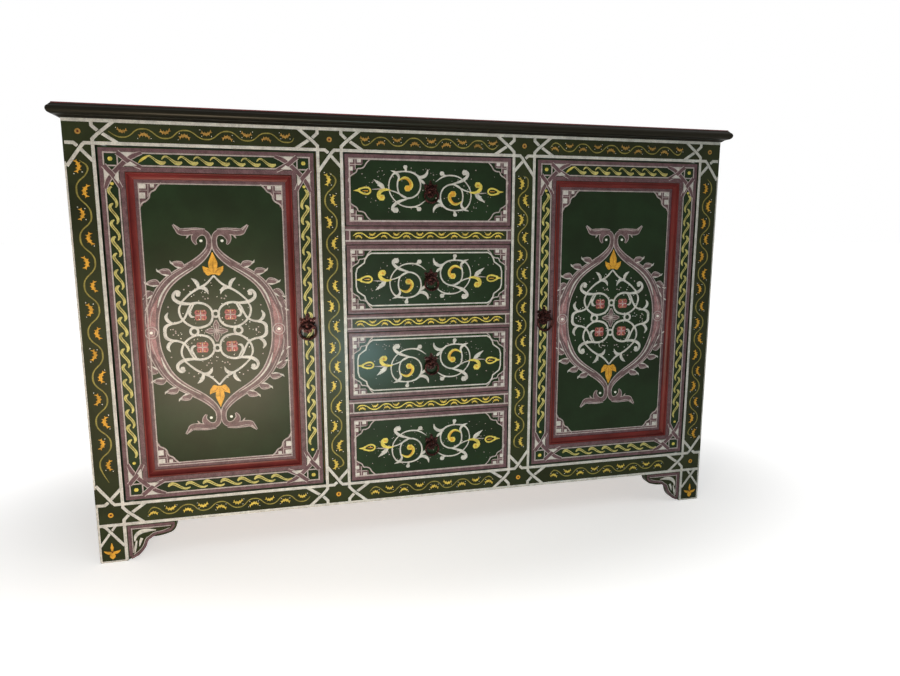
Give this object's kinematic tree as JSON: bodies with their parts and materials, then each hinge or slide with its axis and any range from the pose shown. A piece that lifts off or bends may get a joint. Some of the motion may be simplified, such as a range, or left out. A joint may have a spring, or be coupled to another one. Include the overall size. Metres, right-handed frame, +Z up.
{
  "type": "painted sideboard cabinet",
  "caption": "Low Moroccan-style painted wooden sideboard with framed doors either side of a stack of inset drawers, all with drop-ring pulls.",
  "frame": {"origin": "middle of the underside of the whole cabinet's bounding box, on the floor", "axes": "+X to the viewer's right along the width, the front with doors and drawers faces -Y, +Z up"},
  "size_m": [1.541, 0.4704, 0.978],
  "materials": {
    "dark_green_paint": "varnished dark green paint on wood",
    "dark_green_top": "varnished dark green paint on wood",
    "red_paint": "varnished dark red paint on wood",
    "bare_pine": "planed, unpainted",
    "plywood": "sanded plywood",
    "cast_iron_bronzed": "dark red-brown patina",
    "brass": "turned",
    "steel": "turned"
  },
  "bodies": {
    "carcass": {"back_panel": "plywood", "bottom_board": "bare_pine", "bottom_rail": "dark_green_paint", "door_pivots": "steel", "door_stops": "bare_pine", "drawer_dividers": "dark_green_paint", "drawer_runners": "bare_pine", "drawer_stops": "bare_pine", "inner_posts": "dark_green_paint", "left_foot_bracket": "dark_green_paint", "left_front_post": "dark_green_paint", "partitions": "bare_pine", "rear_posts": "dark_green_paint", "rear_rails": "bare_pine", "right_foot_bracket": "dark_green_paint", "right_front_post": "dark_green_paint", "shelf_cleats": "bare_pine", "shelves": "bare_pine", "side_panels": "dark_green_paint", "side_rails": "dark_green_paint", "top_board": "dark_green_top", "top_rail": "dark_green_paint"},
    "left_door": {"left_door_moulding": "red_paint", "left_door_panel": "dark_green_paint", "left_door_pivot_bushes": "brass", "left_door_pull_plate": "cast_iron_bronzed", "left_door_rails": "dark_green_paint", "left_door_stiles": "dark_green_paint"},
    "right_door": {"right_door_moulding": "red_paint", "right_door_panel": "dark_green_paint", "right_door_pivot_bushes": "brass", "right_door_pull_plate": "cast_iron_bronzed", "right_door_rails": "dark_green_paint", "right_door_stiles": "dark_green_paint"},
    "drawer_4": {"drawer_4_back": "bare_pine", "drawer_4_bottom": "plywood", "drawer_4_front": "dark_green_paint", "drawer_4_pull_plate": "cast_iron_bronzed", "drawer_4_sides": "bare_pine"},
    "drawer_3": {"drawer_3_back": "bare_pine", "drawer_3_bottom": "plywood", "drawer_3_front": "dark_green_paint", "drawer_3_pull_plate": "cast_iron_bronzed", "drawer_3_sides": "bare_pine"},
    "drawer_2": {"drawer_2_back": "bare_pine", "drawer_2_bottom": "plywood", "drawer_2_front": "dark_green_paint", "drawer_2_pull_plate": "cast_iron_bronzed", "drawer_2_sides": "bare_pine"},
    "drawer_1": {"drawer_1_back": "bare_pine", "drawer_1_bottom": "plywood", "drawer_1_front": "dark_green_paint", "drawer_1_pull_plate": "cast_iron_bronzed", "drawer_1_sides": "bare_pine"},
    "left_door_ring": {"left_door_pull_ring": "cast_iron_bronzed"},
    "right_door_ring": {"right_door_pull_ring": "cast_iron_bronzed"},
    "drawer_4_ring": {"drawer_4_pull_ring": "cast_iron_bronzed"},
    "drawer_3_ring": {"drawer_3_pull_ring": "cast_iron_bronzed"},
    "drawer_2_ring": {"drawer_2_pull_ring": "cast_iron_bronzed"},
    "drawer_1_ring": {"drawer_1_pull_ring": "cast_iron_bronzed"}
  },
  "joints": [
    {"name": "left_door_hinge", "type": "hinge", "parent": "carcass", "child": "left_door", "pos_m": [-0.677, -0.20775, 0.5185], "axis": [0, 0, -1], "range_deg": [0, 110]},
    {"name": "right_door_hinge", "type": "hinge", "parent": "carcass", "child": "right_door", "pos_m": [0.677, -0.20775, 0.5185], "axis": [0, 0, 1], "range_deg": [0, 110]},
    {"name": "drawer_4_slide", "type": "slide", "parent": "carcass", "child": "drawer_4", "axis": [0, -1, 0], "range_m": [0, 0.3]},
    {"name": "drawer_3_slide", "type": "slide", "parent": "carcass", "child": "drawer_3", "axis": [0, -1, 0], "range_m": [0, 0.3]},
    {"name": "drawer_2_slide", "type": "slide", "parent": "carcass", "child": "drawer_2", "axis": [0, -1, 0], "range_m": [0, 0.3]},
    {"name": "drawer_1_slide", "type": "slide", "parent": "carcass", "child": "drawer_1", "axis": [0, -1, 0], "range_m": [0, 0.3]},
    {"name": "left_door_ring_swing", "type": "hinge", "parent": "left_door", "child": "left_door_ring", "pos_m": [-0.2845, -0.22475, 0.5235], "axis": [-1, 0, 0], "range_deg": [-5, 170]},
    {"name": "right_door_ring_swing", "type": "hinge", "parent": "right_door", "child": "right_door_ring", "pos_m": [0.2845, -0.22475, 0.5235], "axis": [-1, 0, 0], "range_deg": [-5, 170]},
    {"name": "drawer_4_ring_swing", "type": "hinge", "parent": "drawer_4", "child": "drawer_4_ring", "pos_m": [0, -0.22475, 0.22337], "axis": [-1, 0, 0], "range_deg": [-5, 170]},
    {"name": "drawer_3_ring_swing", "type": "hinge", "parent": "drawer_3", "child": "drawer_3_ring", "pos_m": [0, -0.22475, 0.42312], "axis": [-1, 0, 0], "range_deg": [-5, 170]},
    {"name": "drawer_2_ring_swing", "type": "hinge", "parent": "drawer_2", "child": "drawer_2_ring", "pos_m": [0, -0.22475, 0.62287], "axis": [-1, 0, 0], "range_deg": [-5, 170]},
    {"name": "drawer_1_ring_swing", "type": "hinge", "parent": "drawer_1", "child": "drawer_1_ring", "pos_m": [0, -0.22475, 0.82263], "axis": [-1, 0, 0], "range_deg": [-5, 170]}
  ]
}
